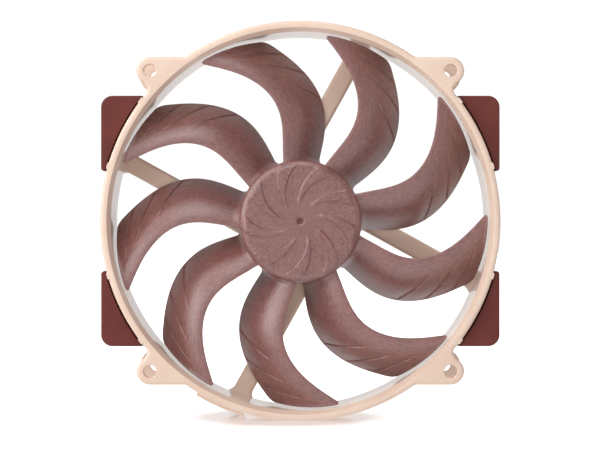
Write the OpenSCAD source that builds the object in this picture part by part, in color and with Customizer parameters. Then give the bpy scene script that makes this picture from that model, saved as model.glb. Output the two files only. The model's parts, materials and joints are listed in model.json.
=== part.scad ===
// Round-frame case fan, 140 mm across, 25 mm deep, with 105 mm hole spacing.
// The bench frame of every module is u to the right, v up and w towards the intake side, with w = 0
// on the rear mounting face. standing() turns it upright, so that the intake side faces -Y.

/* [Frame] */
// Depth between the front and rear mounting faces
depth = 25; // [25:1:27]
// Radius of the two flanges
flange_r = 70; // [70:0.5:71]
// Thickness of each flange and ear
flange_t = 3; // [2.5:0.5:3.5]
// Outside radius of the barrel between the flanges
barrel_r = 68.5; // [68:0.25:69]
// Radius of the air duct
duct_r = 66.5; // [66.3:0.1:67]
// Spacing of the screw holes, along and across
hole_pitch = 105; // [105:105]
// Diameter of the screw holes
hole_d = 4.5; // [4.3:0.1:5]

/* [Struts] */
// Width of a strut
strut_w = 6.7; // [5:0.1:8]
// Height of a strut above the rear face
strut_h = 4.6; // [3.6:0.1:4.8]
// How far a strut's centre line passes from the fan's axis
strut_offset = 11.5; // [9:0.5:13]
// Direction in which the first strut runs outwards
strut_angle = 61; // [55:1:65]

/* [Impeller] */
// Number of blades
blade_count = 9; // [7:2:9]
// Radius of the hub
hub_r = 21.5; // [21:0.5:23]
// Height of the hub's face above the rear face
hub_top = 24; // [23:0.25:24]
// Radius of the blade tips
tip_r = 65.8; // [64:0.1:65.8]
// Thickest part of a blade
blade_t = 1.9; // [1.2:0.1:2.4]

/* [Motor] */
// Diameter of the shaft
shaft_d = 3; // [3:0.5:4]
// Running clearance of the shaft in its bearing, on the radius
shaft_play = 0.03; // [0.01:0.01:0.08]
// Outside radius of the stator poles
stator_r = 16.4; // [15:0.1:16.5]
// Inside radius of the rotor magnet
magnet_ri = 17; // [16.9:0.1:17.5]
// Width of a pole's neck
neck_w = 4.4; // [3:0.2:5]

/* [Hidden] */
$fn = 96;
round_fn = 180;
small_fn = 48;
pin_fn = 24;
hub_fn = 128;
overlap = 0.01;
bite = 0.2;

beige = [0.90, 0.80, 0.73];
dark_brown = [0.42, 0.28, 0.27];
dark_red = [0.45, 0.24, 0.22];
steel = [0.70, 0.71, 0.73];
brass = [0.80, 0.65, 0.35];
bronze = [0.62, 0.42, 0.25];
copper = [0.75, 0.42, 0.22];
board_green = [0.10, 0.32, 0.20];
black = [0.10, 0.10, 0.11];
ivory = [0.90, 0.88, 0.82];

// Ears: a round end about each hole, a straight edge to the ring on one side, a hollow on the other;
// the rear ears are a little larger than the front ones
hole_x = hole_pitch / 2;
ear_r = 4.8;
rear_ear_r = 5.8;
ring_bite = 0.5;
ear_foot = 38;
hollow_r = 4.5;
hollow_bite = 0.02;
neck_x = hole_x + 0.9;
hollow_x = neck_x + hollow_r;

// Ring profile: the lip is the wide end of the duct, and the flanges' outer edges are rounded
lip_r = duct_r + 1;
lip_h = 3.5;
edge_round = 1.2;

// Side pads between the flanges, each kept in place by two stops
pad_gap = 0.05;
pad_top = 44;
pad_bottom = 17.6;
pad_corner = 4;
pad_tip = 1;
stop_angles = [16, 37];
stop_w = 2.4;
stop_out = 0.5;

// Struts end in a hollow fillet on the duct wall
strut_soft = 1.2;
root_fillet = 3;
fillet_back = 0.8;
strut_start = 12;
strut_end = sqrt(pow(duct_r + 1, 2) - pow(strut_offset, 2));
cable_strut = 2;
strut_cut_h = 3 * strut_h;
strut_overlap = 1;

// Cable exit: a block outside the ring at the foot of the strut that carries the wires
exit_from = 239;
exit_to = 253.5;
exit_r = 72.9;
exit_h = 10.5;
exit_angle = strut_angle + 90 * cable_strut + asin(strut_offset / duct_r);
exit_w = 3.3;
exit_start = duct_r - 0.5;
grommet_r = 2.4;
grommet_proud = 0.2;
cable_r = 1.7;
channel_w = 3;
channel_h = 2.4;

// Motor base and bearing tube
base_r = 21.3;
base_bottom = 0.8;
base_top = 2.8;
rim_ri = 19.8;
rim_top = 4.2;
ledge_top = 3.6;
ledge_ri = 17.6;
label_t = 0.3;
label_r = 18.5;
label_pocket_r = 18.8;
tube_r = 5;
tube_ri = 3.6;
tube_top = 17;
channel_end_r = base_r - 1.5;

// Bearing stack
shell_ri = 3;
shell_top = 16.4;
thrust_r = 2.8;
thrust_top = 3.3;
shaft_r = shaft_d / 2;
shaft_bottom = 3.4;
ring_bottom = 3.8;
ring_top = 4.2;
ring_r = 2.5;
groove_r = 1.2;
sleeve_bottom = 4.7;
sleeve_top = 15.6;
seal_top = 16.1;
seal_ri = 1.8;
axial_magnet_top = 17.8;
axial_magnet_ri = 2.4;

// Circuit board and what stands on it
board_r = 19.6;
board_ri = 6;
board_top = 4.6;
chip_at = [12.5, 0];
chip_size = [4, 5, 1.1];
hall_at = [14.6, -7.5];
hall_size = [2.8, 2, 1.5];
capacitor_at = [[-12.5, 3], [-12.5, 0], [-12.5, -3]];
capacitor_size = [2, 1.2, 1];
pin_r = 0.4;
pin_circle = 10.5;
pin_bottom = 3;
pin_arm_w = 2;

// Stator
core_bottom = 9;
core_top = 16;
core_ring_r = 7.6;
shoe_ri = 14.3;
pole_gap = 3;
plate_t = 0.8;
plate_r = 8.5;
guard_t = 0.6;
coil_from = 8.6;
coil_to = 13.4;
coil_side = 2.1;
coil_rise = 1.3;
guard_in = coil_from - 0.1;
guard_out = coil_to + 0.1;

// Rotor
magnet_bottom = 7;
magnet_top = 19;
magnet_r = 19;
cup_r = 19.8;
cup_bottom = 6;
cup_top = 21.6;
cup_t = 0.8;
boss_r = 6.5;
boss_bottom = 18.2;
bushing_r = 4.2;
bushing_top = 22.2;
hub_bottom = 5.3;
hub_round = 2.6;
dimple_r = 1.3;
dimple_h = 1;

// Blade: five stations from root to tip, and the angle and height of both edges at each of them
station_r = [21, 32, 43, 54, 65];
lead_angle = [66.4, 61.3, 62.3, 70.8, 82.1];
trail_angle = [32.6, 34.5, 39.2, 48.7, 60];
lead_w = [20.4, 21.6, 22, 22, 21.6];
trail_w = [7.2, 6.8, 6.6, 6.8, 7.2];
camber = 3.2;
nose_t = 0.3;
trail_t = 0.7;
root_r = 20.4;
ring_count = 11;
edge_steps = 8;
edge_crowding = 1.4;
section_n = 2 * edge_steps + 1;

// Smooth curve through values given at the five stations, by Lagrange's formula
function share(i, j, r) = i == j ? 1 : (r - station_r[j]) / (station_r[i] - station_r[j]);
function weight(i, r, j = 0) = j > 4 ? 1 : share(i, j, r) * weight(i, r, j + 1);
function along(values, r) = values * [for (i = [0:4]) weight(i, r)];

// Middle surface of the blade at radius r, from s = 0 on the leading edge to s = 1 on the trailing edge
function mid_angle(r, s) = along(lead_angle, r) * (1 - s) + along(trail_angle, r) * s;
function mid_w(r, s) = along(lead_w, r) * (1 - s) + along(trail_w, r) * s + 4 * camber * s * (1 - s);
function half_t(s) = 0.65 * blade_t * sqrt(s) * (1 - s) + nose_t * sqrt(s) * (1 - s) + trail_t / 2 * s;

// Point on the blade's surface: side = 1 on the intake side and -1 on the other
function blade_point(r, s, side) = let (
    du = r * (along(trail_angle, r) - along(lead_angle, r)) * PI / 180,
    dw = along(trail_w, r) - along(lead_w, r) + 4 * camber * (1 - 2 * s),
    h = side * half_t(s) / norm([du, dw]),
    a = mid_angle(r, s) + h * dw / r * 180 / PI,
    w = mid_w(r, s) - h * du
) [r * cos(a), r * sin(a), w];

// Closed outline of a section: the intake side from the leading edge, then the other side back to it
function crowded(i) = pow(i / edge_steps, edge_crowding);
function section(r) = concat(
    [for (i = [0:edge_steps]) blade_point(r, crowded(i), 1)],
    [for (i = [edge_steps:-1:1]) blade_point(r, crowded(i), -1)]);
function section_radius(k) = root_r + (tip_r - root_r) * k / (ring_count - 1);

// Turns the bench frame upright
module standing() {
    rotate([90, 0, 0]) children();
}

// Repeats what it is given in all four quarters
module four_quarters() {
    for (m = [0, 1], n = [0, 1]) mirror([m, 0, 0]) mirror([0, n, 0]) children();
}

// Repeats what it is given at each quarter turn
module four_turns() {
    for (k = [0:3]) rotate([0, 0, 90 * k]) children();
}

module tube(ro, ri, from, to) {
    translate([0, 0, from]) difference() {
        cylinder(r = ro, h = to - from);
        translate([0, 0, -1]) cylinder(r = ri, h = to - from + 2);
    }
}

// Upright box between two distances from the axis, centred on the u axis
module block(from, to, width, bottom, top) {
    translate([from, -width / 2, bottom]) cube([to - from, width, top - bottom]);
}

module ring_profile() {
    polygon([[duct_r, lip_h], [lip_r, 0], [flange_r - edge_round, 0], [flange_r, edge_round],
        [flange_r, flange_t], [barrel_r, flange_t], [barrel_r, depth - flange_t],
        [flange_r, depth - flange_t], [flange_r, depth - edge_round],
        [flange_r - edge_round, depth], [lip_r, depth], [duct_r, depth - lip_h]]);
    for (w = [edge_round, depth - edge_round])
        translate([flange_r - edge_round, w]) circle(r = edge_round);
}

// Outline of an ear with a round end of radius r, which the hollow's circle just cuts into
module ear_outline(r) {
    hollow_y = hole_x - sqrt(pow(r + hollow_r - hollow_bite, 2) - pow(hollow_x - hole_x, 2));
    difference() {
        union() {
            translate([hole_x, hole_x]) circle(r = r);
            polygon([[ear_foot, hole_x + r], [hole_x, hole_x + r], [hole_x, hole_x],
                [hollow_x, hollow_y], [neck_x, ear_foot], [ear_foot, ear_foot]]);
        }
        translate([hollow_x, hollow_y]) circle(r = hollow_r);
        circle(r = barrel_r - ring_bite, $fn = round_fn);
    }
}

module ears() {
    four_quarters() linear_extrude(flange_t) ear_outline(rear_ear_r);
    four_quarters() translate([0, 0, depth - flange_t]) linear_extrude(flange_t) ear_outline(ear_r);
}

module pad_stops() {
    for (w = [0, depth - flange_t], a = stop_angles) translate([0, 0, w])
        four_quarters() rotate([0, 0, a]) block(barrel_r, flange_r + stop_out, stop_w, 0, flange_t);
}

module strut_profile() {
    half = strut_w / 2;
    translate([-half, 0]) square([strut_w, strut_h - strut_soft]);
    translate([strut_soft - half, 0]) square([strut_w - 2 * strut_soft, strut_h]);
    for (u = [strut_soft - half, half - strut_soft])
        translate([u, strut_h - strut_soft]) circle(r = strut_soft);
}

module strut_root() {
    translate([strut_end - root_fillet, strut_w / 2, strut_h - strut_soft]) rotate([90, 0, 0])
        linear_extrude(strut_w) difference() {
            square([root_fillet, root_fillet + strut_soft]);
            translate([-fillet_back, root_fillet + strut_soft]) circle(r = root_fillet);
        }
}

module strut() {
    rotate([0, 0, strut_angle]) translate([0, strut_offset, 0]) {
        translate([strut_start, 0, 0]) rotate([90, 0, 90]) linear_extrude(strut_end - strut_start)
            strut_profile();
        strut_root();
    }
}

module exit_block() {
    rotate([0, 0, exit_from]) rotate_extrude(angle = exit_to - exit_from, $fn = round_fn)
        translate([barrel_r - ring_bite, 0]) square([exit_r - barrel_r + ring_bite, exit_h]);
}

module along_exit(r, from, to) {
    rotate([0, 0, exit_angle]) translate([from, 0, exit_w]) rotate([0, 90, 0])
        cylinder(r = r, h = to - from, $fn = small_fn);
}

// Groove in the rear of one strut that leads the wires from the board to the exit
module wire_channel() {
    rotate([0, 0, strut_angle + 90 * cable_strut]) translate([0, strut_offset, 0])
        block(strut_start, strut_end, channel_w, -1, channel_h);
}

module motor_base() {
    translate([0, 0, base_bottom]) cylinder(r = base_r, h = base_top - base_bottom);
    tube(base_r, label_pocket_r, 0, base_bottom + overlap);
    tube(base_r, rim_ri, base_top - overlap, rim_top);
    tube(rim_ri + overlap, ledge_ri, base_top - overlap, ledge_top);
    tube(tube_r, tube_ri, base_top - overlap, tube_top);
}

module frame() {
    color(beige) standing() difference() {
        union() {
            rotate_extrude($fn = round_fn) ring_profile();
            ears();
            pad_stops();
            difference() {
                four_turns() strut();
                cylinder(r = base_r - strut_overlap, h = strut_cut_h, center = true);
            }
            motor_base();
            exit_block();
        }
        four_quarters() translate([hole_x, hole_x, -1])
            cylinder(r = hole_d / 2, h = depth + 2, $fn = small_fn);
        difference() {
            wire_channel();
            cylinder(r = channel_end_r, h = strut_cut_h, center = true);
        }
        along_exit(grommet_r, exit_start, exit_r + 1);
    }
}

module pad_outline() {
    difference() {
        translate([0, pad_bottom]) square([flange_r, pad_top - pad_bottom]);
        difference() {
            translate([flange_r - pad_corner, pad_top - pad_corner]) square(pad_corner + 1);
            translate([flange_r - pad_corner, pad_top - pad_corner]) circle(r = pad_corner);
        }
        difference() {
            translate([flange_r - pad_tip, pad_bottom - 1]) square([pad_tip + 1, pad_tip + 1]);
            translate([flange_r - pad_tip, pad_bottom + pad_tip]) circle(r = pad_tip, $fn = pin_fn);
        }
        circle(r = barrel_r, $fn = round_fn);
    }
}

// One side pad: across and up are 1 or -1 and pick the quarter that it sits in
module pad(across, up) {
    color(dark_red) standing() translate([0, 0, flange_t + pad_gap])
        scale([across, up, 1]) linear_extrude(depth - 2 * flange_t - 2 * pad_gap) pad_outline();
}

module pad_upper_left() {
    pad(-1, 1);
}

module pad_upper_right() {
    pad(1, 1);
}

module pad_lower_left() {
    pad(-1, -1);
}

module pad_lower_right() {
    pad(1, -1);
}

module cable_grommet() {
    color(dark_red) standing() difference() {
        along_exit(grommet_r, exit_start, exit_r + grommet_proud);
        along_exit(cable_r, exit_start - 1, exit_r + 1);
    }
}

module rear_label() {
    color(steel) standing() translate([0, 0, base_bottom - label_t]) cylinder(r = label_r, h = label_t);
}

module bearing_shell() {
    color(brass) standing() tube(tube_ri, shell_ri, base_top, shell_top);
}

module bearing_sleeve() {
    color(bronze) standing() tube(shell_ri, shaft_r + shaft_play, sleeve_bottom, sleeve_top);
}

module thrust_pad() {
    color(ivory) standing() translate([0, 0, base_top]) cylinder(r = thrust_r, h = thrust_top - base_top);
}

module oil_seal() {
    color(black) standing() tube(shell_ri, seal_ri, sleeve_top, seal_top);
}

module axial_magnet() {
    color(black) standing() tube(tube_r, axial_magnet_ri, tube_top, axial_magnet_top);
}

module stator_core() {
    color(steel) standing() {
        tube(core_ring_r, tube_r, core_bottom, core_top);
        four_turns() block(core_ring_r - bite, shoe_ri + bite, neck_w, core_bottom, core_top);
        difference() {
            tube(stator_r, shoe_ri, core_bottom, core_top);
            four_turns() rotate([0, 0, 45]) block(0, stator_r + 1, pole_gap, 0, depth);
        }
    }
}

// Insulator on one face of the core; its guards keep the windings in place
module insulator(face, up) {
    guard_top = plate_t + coil_rise;
    translate([0, 0, face]) scale([1, 1, up]) {
        tube(plate_r, tube_r, 0, plate_t);
        four_turns() {
            block(plate_r - bite, guard_out + guard_t, neck_w, 0, plate_t);
            block(guard_in - guard_t, guard_in, neck_w + 2 * coil_side, 0, guard_top);
            block(guard_out, guard_out + guard_t, neck_w + 2 * coil_side, 0, guard_top);
        }
    }
}

module insulator_front() {
    color(ivory) standing() insulator(core_top, 1);
}

module at_pins() {
    four_turns() rotate([0, 0, 45]) translate([pin_circle, 0, 0]) children();
}

module insulator_rear() {
    color(ivory) standing() difference() {
        union() {
            insulator(core_bottom, -1);
            four_turns() rotate([0, 0, 45]) block(plate_r - 2 * bite, pin_circle + pin_arm_w / 2,
                pin_arm_w, core_bottom - plate_t, core_bottom);
        }
        at_pins() translate([0, 0, pin_bottom]) cylinder(r = pin_r, h = core_top, $fn = pin_fn);
    }
}

module winding_pins() {
    color(brass) standing() at_pins() translate([0, 0, pin_bottom])
        cylinder(r = pin_r, h = core_bottom - pin_bottom, $fn = pin_fn);
}

// Winding on the neck of one pole
module coil(k) {
    rise = plate_t + coil_rise;
    color(copper) standing() rotate([0, 0, 90 * (k - 1)]) difference() {
        block(coil_from, coil_to, neck_w + 2 * coil_side, core_bottom - rise, core_top + rise);
        block(0, depth, neck_w, core_bottom - plate_t, core_top + plate_t);
    }
}

module circuit_board() {
    color(board_green) standing() difference() {
        tube(board_r, board_ri, ledge_top, board_top);
        at_pins() cylinder(r = pin_r, h = depth, $fn = pin_fn);
    }
}

// Flat component that stands on the board
module on_board(at, size) {
    translate([at[0] - size[0] / 2, at[1] - size[1] / 2, board_top]) cube(size);
}

module driver_chip() {
    color(black) standing() on_board(chip_at, chip_size);
}

module hall_sensor() {
    color(black) standing() on_board(hall_at, hall_size);
}

module board_capacitors() {
    color(ivory) standing() for (at = capacitor_at) on_board(at, capacitor_size);
}

module hub_profile() {
    difference() {
        union() {
            square([hub_r, hub_top - hub_round]);
            square([hub_r - hub_round, hub_top]);
            translate([hub_r - hub_round, hub_top - hub_round]) circle(r = hub_round);
        }
        translate([-1, -1]) square([cup_r + 1, boss_bottom + 1]);
        translate([boss_r, 0]) square([cup_r - boss_r, cup_top]);
        translate([-1, -1]) square([bushing_r + 1, bushing_top + 1]);
        translate([0, -1]) square([hub_r + 1, hub_bottom + 1]);
        translate([-1, hub_top - dimple_h]) square([dimple_r + 1, dimple_h + 1]);
        translate([-hub_r, 0]) square([hub_r, depth]);
    }
}

// Triangles that close a section between two steps, from its intake side to its other side
function strip_across(i) = i == 0 ? [[0, 1, section_n - 1]] :
    [[i, i + 1, section_n - i - 1], [i, section_n - i - 1, section_n - i]];

// One swept blade, closed at the root inside the hub's wall and at the tip
module blade() {
    points = [for (k = [0:ring_count - 1]) each section(section_radius(k))];
    sides = [for (k = [0:ring_count - 2], i = [0:section_n - 1]) let (
        a = k * section_n + i,
        b = k * section_n + (i + 1) % section_n
    ) each [[a, a + section_n, b], [b, a + section_n, b + section_n]]];
    last = (ring_count - 1) * section_n;
    root = [for (i = [0:edge_steps - 1]) each strip_across(i)];
    tip = [for (t = root) [last + t[0], last + t[2], last + t[1]]];
    polyhedron(points, concat(sides, root, tip));
}

module impeller() {
    color(dark_brown) standing() {
        rotate_extrude($fn = hub_fn) hub_profile();
        for (k = [0:blade_count - 1]) rotate([0, 0, 360 / blade_count * k]) blade();
    }
}

module rotor_cup() {
    color(steel) standing() {
        tube(cup_r, cup_r - cup_t, cup_bottom, cup_top);
        tube(cup_r - cup_t + overlap, boss_r, cup_top - cup_t, cup_top);
    }
}

module rotor_magnet() {
    color(black) standing() tube(magnet_r, magnet_ri, magnet_bottom, magnet_top);
}

module shaft() {
    color(steel) standing() difference() {
        translate([0, 0, shaft_bottom]) cylinder(r = shaft_r, h = bushing_top - shaft_bottom);
        tube(shaft_r + 1, groove_r, ring_bottom, ring_top);
    }
}

module shaft_bushing() {
    color(brass) standing() tube(bushing_r, shaft_r, boss_bottom, bushing_top);
}

module retaining_ring() {
    color(ivory) standing() tube(ring_r, groove_r, ring_bottom, ring_top);
}

frame();
pad_upper_left();
pad_upper_right();
pad_lower_left();
pad_lower_right();
cable_grommet();
rear_label();
bearing_shell();
bearing_sleeve();
thrust_pad();
oil_seal();
axial_magnet();
stator_core();
insulator_front();
insulator_rear();
coil(1);  // coil_1
coil(2);  // coil_2
coil(3);  // coil_3
coil(4);  // coil_4
winding_pins();
circuit_board();
driver_chip();
hall_sensor();
board_capacitors();
impeller();
rotor_cup();
rotor_magnet();
shaft();
shaft_bushing();
retaining_ring();
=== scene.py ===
"""Looks of the case fan: detailed housing, impeller and side pads, materials for the windings and the other
carried-over parts, and the stage around them.

Shapes are worked out in the bench frame in millimetres: u to the right, v up and w from the rear
mounting face towards the intake side. place() turns a bench point into the model's frame in metres.
"""
import json
import math

import bmesh
import bpy
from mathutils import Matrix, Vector
from mathutils.geometry import delaunay_2d_cdt


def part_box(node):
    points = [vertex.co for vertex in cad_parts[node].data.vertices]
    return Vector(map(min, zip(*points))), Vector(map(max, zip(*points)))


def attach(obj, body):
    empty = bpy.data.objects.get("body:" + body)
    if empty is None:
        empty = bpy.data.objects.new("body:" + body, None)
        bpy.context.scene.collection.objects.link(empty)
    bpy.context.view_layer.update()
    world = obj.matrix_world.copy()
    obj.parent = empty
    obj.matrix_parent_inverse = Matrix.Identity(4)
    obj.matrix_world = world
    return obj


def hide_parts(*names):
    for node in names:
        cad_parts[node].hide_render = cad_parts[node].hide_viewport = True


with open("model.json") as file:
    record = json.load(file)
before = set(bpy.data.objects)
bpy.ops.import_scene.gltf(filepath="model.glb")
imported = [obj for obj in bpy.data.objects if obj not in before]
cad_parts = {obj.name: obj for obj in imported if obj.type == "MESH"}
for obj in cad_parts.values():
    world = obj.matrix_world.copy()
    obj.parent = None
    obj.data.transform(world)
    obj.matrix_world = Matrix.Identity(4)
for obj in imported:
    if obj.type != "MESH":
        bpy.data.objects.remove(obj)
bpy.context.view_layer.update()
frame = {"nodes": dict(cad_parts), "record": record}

MM = 0.001
# Edges that turn more than this stay sharp
SHARP_ANGLE = math.radians(35)
# How far, in mm, a cutter reaches past what it cuts, and a joined part into its neighbour
CLEAR = 0.5


# ---------------------------------------------------------------------------------------------
# Sizes, in millimetres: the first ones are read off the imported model
# ---------------------------------------------------------------------------------------------

def node_box(node):
    """A node's lowest and highest corners in the bench frame."""
    low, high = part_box(node)
    return (low[0] / MM, low[2] / MM, -high[1] / MM), (high[0] / MM, high[2] / MM, -low[1] / MM)


MOUNTS = {m["name"]: m for m in frame["record"]["mounts"]}
FLANGE_R = node_box("frame")[1][0]
DEPTH = node_box("frame")[1][2]
HOLE_X = MOUNTS["rear_screw_holes"]["dims"]["spacing_x_mm"] / 2
HOLE_R = MOUNTS["rear_screw_holes"]["dims"]["hole_r_mm"]
EXIT_AXIS = MOUNTS["cable_exit"]["axis"]
EXIT_ANGLE = math.atan2(EXIT_AXIS[2], EXIT_AXIS[0])
EXIT_W = -MOUNTS["cable_exit"]["pos_m"][1] / MM

# Ring
FLANGE_T = 3.0
BARREL_R = 68.5
DUCT_R = 66.5
LIP_R = 67.6
LIP_H = 3.5
EDGE_ROUND = 1.3
BACK_ROUND = 0.3
FULL_CIRCLE = 288

# Ears
HOLE_SOFT = 0.25
FRONT_EAR_R = 4.8
REAR_EAR_R = 5.8
HOLLOW_R = 4.5
HOLLOW_X = HOLE_X + 0.9 + HOLLOW_R
EAR_FILLET = 2.0

# Small stops for the pads on both flanges: their angles in degrees from the sides, and how far they stay
# inside the flange's outer and inner face
STOP_ANGLES = (16, 37)
STOP_W = 2.4
STOP_ROUND = 0.45
STOP_SOFT = 0.25
STOP_OUT = 0.3
STOP_FROM = BARREL_R + 0.1
STOP_OUTER_GAP = 0.1
STOP_INNER_GAP = 0.05

# Struts, motor base and bearing tube; a strut swells near its root in the ring, over ROOT_SHARE of it
STRUT_W = 6.7
STRUT_H = 4.6
STRUT_SOFT = 1.2
STRUT_OFFSET = 11.5
STRUT_ANGLE = math.radians(61)
ROOT_FILLET = 3.0
STRUT_FROM = 20.5
STRUT_TO = 67.2
STRUT_REACH = STRUT_TO - STRUT_FROM
ROOT_SPREAD = 1.6
ROOT_SHARE = 0.085
CABLE_STRUT = 2
BASE_R = 21.3
BASE_ROUND = 0.4
BASE_BOTTOM = 0.8
BASE_TOP = 2.8
RIM_TOP = 4.2
RIM_RI = 19.8
RIM_ROUND = 0.5
LEDGE_TOP = 3.6
LEDGE_RI = 17.6
LABEL_POCKET_R = 18.8
TUBE_R = 5.0
TUBE_RI = 3.6
TUBE_TOP = 17.0
TUBE_FILLET = 0.8

# Cable exit
EXIT_FROM = math.radians(239)
EXIT_TO = math.radians(253.5)
EXIT_R = 72.9
EXIT_H = 10.5
EXIT_SOFT = 0.5
GROMMET_R = 2.4
CHANNEL_W = 3.0
CHANNEL_H = 2.4

# Side pads
PAD_INNER_R = 68.55
PAD_TOP = 44.0
PAD_BOTTOM = 17.6
PAD_CORNER = 4.0
PAD_TIP = 1.0
PAD_INNER_CORNER = 1.2
PAD_SOFT = 0.6
GROOVE_R = FLANGE_R + 0.95
GROOVE_H = 3.0

# Blades: at each station's radius, the angles in degrees and heights of the leading and trailing edge
BLADE_COUNT = 9
TIP_R = 65.8
ROOT_R = 20.4
STATION_R = (21, 32, 43, 54, 65)
LEAD_ANGLE = (66.4, 61.3, 62.3, 70.8, 82.1)
TRAIL_ANGLE = (32.6, 34.5, 39.2, 48.7, 60)
LEAD_W = (20.4, 21.6, 22, 22, 21.6)
TRAIL_W = (7.2, 6.8, 6.6, 6.8, 7.2)
CAMBER = 3.2

# Half a blade's thickness: how full its section is, and what is left of it at the rear edge
BLADE_BULGE = 1.535
REAR_HALF = 0.35

# How far a blade's rows bow outwards, its tip corners as length across and depth along, and its soft edges
ROW_SWEEP = 36.0
LEAD_CORNER = (2.2, 1.5)
TRAIL_CORNER = (1.8, 1.8)
TRAIL_SOFT = 0.975
TIP_SOFT = 0.5
TIP_THINNING = 0.9
TIP_LIP = 0.6
TIP_LIP_REACH = 1.2
FOOT_REACH = 2.2
FOOT_SPREAD = 0.15
FOOT_THICK = 1.5

# Shallow steps on a blade's intake side, and the shares of the chord over which they rise and end
STEP_R = (44.9, 53.3, 60.5)
STEP_RAMP = 5.0
STEP_WALL = 0.42
STEP_H = 0.5
STEP_RISES = (0.32, 0.6)
STEP_ENDS = (0.93, 0.985)

# Hub, and the spiral wedges on its face: angles and widths in degrees, and degrees of twist and of added
# width for each millimetre outwards
HUB_R = 21.5
HUB_TOP = 24.0
HUB_BOTTOM = 5.3
HUB_ROUND = 2.6
HUB_EDGE = 0.4
HUB_EDGE_MIDDLE = 0.12
DIMPLE_R = 1.7
DIMPLE_H = 1.4
WEDGE_START = 8.0
WEDGE_ANGLE = 94.8
WEDGE_TWIST = 2.35
WEDGE_WIDTH = 6.0
WEDGE_SPREAD = 0.95
WEDGE_SOFT = 0.68
WEDGE_H = 0.5
WEDGE_RISE = 1.5
WEDGE_FADE = (1.6, 3.2)
WEDGE_HOLD = 4

# Space inside the hub for the rotor cup, and the boss that holds the shaft's bushing
CUP_R = 19.83
CUP_TOP = 21.6
BOSS_R = 6.5
BOSS_BOTTOM = 18.2
BUSHING_R = 4.2
BUSHING_TOP = 22.2
SEAM_ANGLE = math.radians(WEDGE_ANGLE - 35)

# Rows of points on a blade: their pitch at its foot and beyond, distances behind and past each step, radii
# that fill the gaps between steps, and shares of the tip's softness
FOOT_PITCH = 0.5
SPAN_PITCH = 1.25
SPAN_FROM = 26
STEP_BEHIND = (STEP_RAMP, 3.8, 2.8, 1.9, 1.1, STEP_WALL, 0.25)
STEP_PAST = (0, 0.5, 1.2)
BETWEEN_STEPS = (46.7, 47.7, 62.3, 63.1, 63.8, 64.4, 64.8)
TIP_SHARES = (1.3, 1, 0.75, 0.5, 0.3, 0.12, 0)

# Columns of points along a blade's chord, as shares of it: the first one and the last ones
NOSE_COLUMN = 0.002
REAR_COLUMNS = (0.982, 0.988, 0.993, 0.997, 1)

# Rows of points on the hub: radii on its face and heights on its side
HUB_FACE_ROWS = (2.4, 3.2, 4.5, 5.8, 7, 8, 8.5, 9, 9.6, 10.3)
HUB_EVEN_FROM = 11
HUB_SIDE_ROWS = (20.6, 19.5, 18, 15, 12, 9, 7)

# Map along the moulded fibres: units across a blade's chord and per degree of the hub, how far apart the
# blades lie in it, and millimetres per unit from the hub outwards
CHORD_UV = 2.0
HUB_UV = 0.02
BLADE_UV_SHIFT = 7
SPAN_UV = 10

# Camera: place in the bench frame, seen from the front flange, and focal length on a 36 mm sensor
CAMERA_AT = (-0.11, -1.4, 505)
FOCAL_LENGTH = 86.9
SENSOR = 36

# The floor glows white, except in a fixed patch round the fan's foot where the glow fades: a painted shadow,
# in which the floor's own grey-pink colour and the fan's real shadow show. The numbers are the patch's
# middle, how much distances across the fan are shortened, the distances in mm between which the glow comes
# back, and how faint the glow is in the patch's middle
FLOOR_REACH = 3000
FLOOR_GAP = 0.05
SHADOW_U = -5
SHADOW_STRETCH = (0.7, 1, 0)
SHADOW_FADE = (20, 36)
SHADOW_GLOW = 0.15

# Lights: bench place and watts, and their size in metres; then the backdrop's glows: the way to each and
# its strength
LIGHTS = (((-700, 100, 500), 2.3), ((-900, 250, 100), 2.4), ((-650, 650, 100), 2.8),
          ((-150, 700, 600), 2.2), ((-350, 250, 800), 0.6), ((0, 900, 150), 1.6),
          ((700, 100, 500), 0.2), ((900, 250, 100), 0.8))
LIGHT_SIZE = 0.5
GLOWS = (((0, -1, 0), 0.72), ((0, 1, 0), 0.95), ((0, 0, -1), 1.05))
BACKDROP = 1.05


def place(u, v, w):
    return Vector((u * MM, -w * MM, v * MM))


def polar(r, angle):
    return r * math.cos(angle), r * math.sin(angle)


def smooth(low, high, x):
    """0 below low, 1 above high, and a smooth step between."""
    t = min(max((x - low) / (high - low), 0.0), 1.0)
    return t * t * (3 - 2 * t)


# ---------------------------------------------------------------------------------------------
# Camera
# ---------------------------------------------------------------------------------------------

def make_camera():
    """Looks straight at the intake side from a little below the axis."""
    data = bpy.data.cameras.new("camera")
    data.sensor_width = SENSOR
    data.lens = FOCAL_LENGTH
    camera = bpy.data.objects.new("camera", data)
    u, v, away = CAMERA_AT
    camera.location = place(u, v, DEPTH + away)
    camera.rotation_euler = (math.radians(90), 0, 0)
    bpy.context.scene.collection.objects.link(camera)
    bpy.context.scene.camera = camera


# ---------------------------------------------------------------------------------------------
# Mesh helpers
# ---------------------------------------------------------------------------------------------

def new_object(name, bm):
    """Turns a bmesh in millimetres and the bench frame into an object in the model's frame."""
    for vert in bm.verts:
        vert.co = place(*vert.co)
    bmesh.ops.recalc_face_normals(bm, faces=bm.faces)
    mesh = bpy.data.meshes.new(name)
    bm.to_mesh(mesh)
    bm.free()
    mesh.shade_smooth()
    mesh.set_sharp_from_angle(angle=SHARP_ANGLE)
    piece = bpy.data.objects.new(name, mesh)
    bpy.context.scene.collection.objects.link(piece)
    return piece


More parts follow.
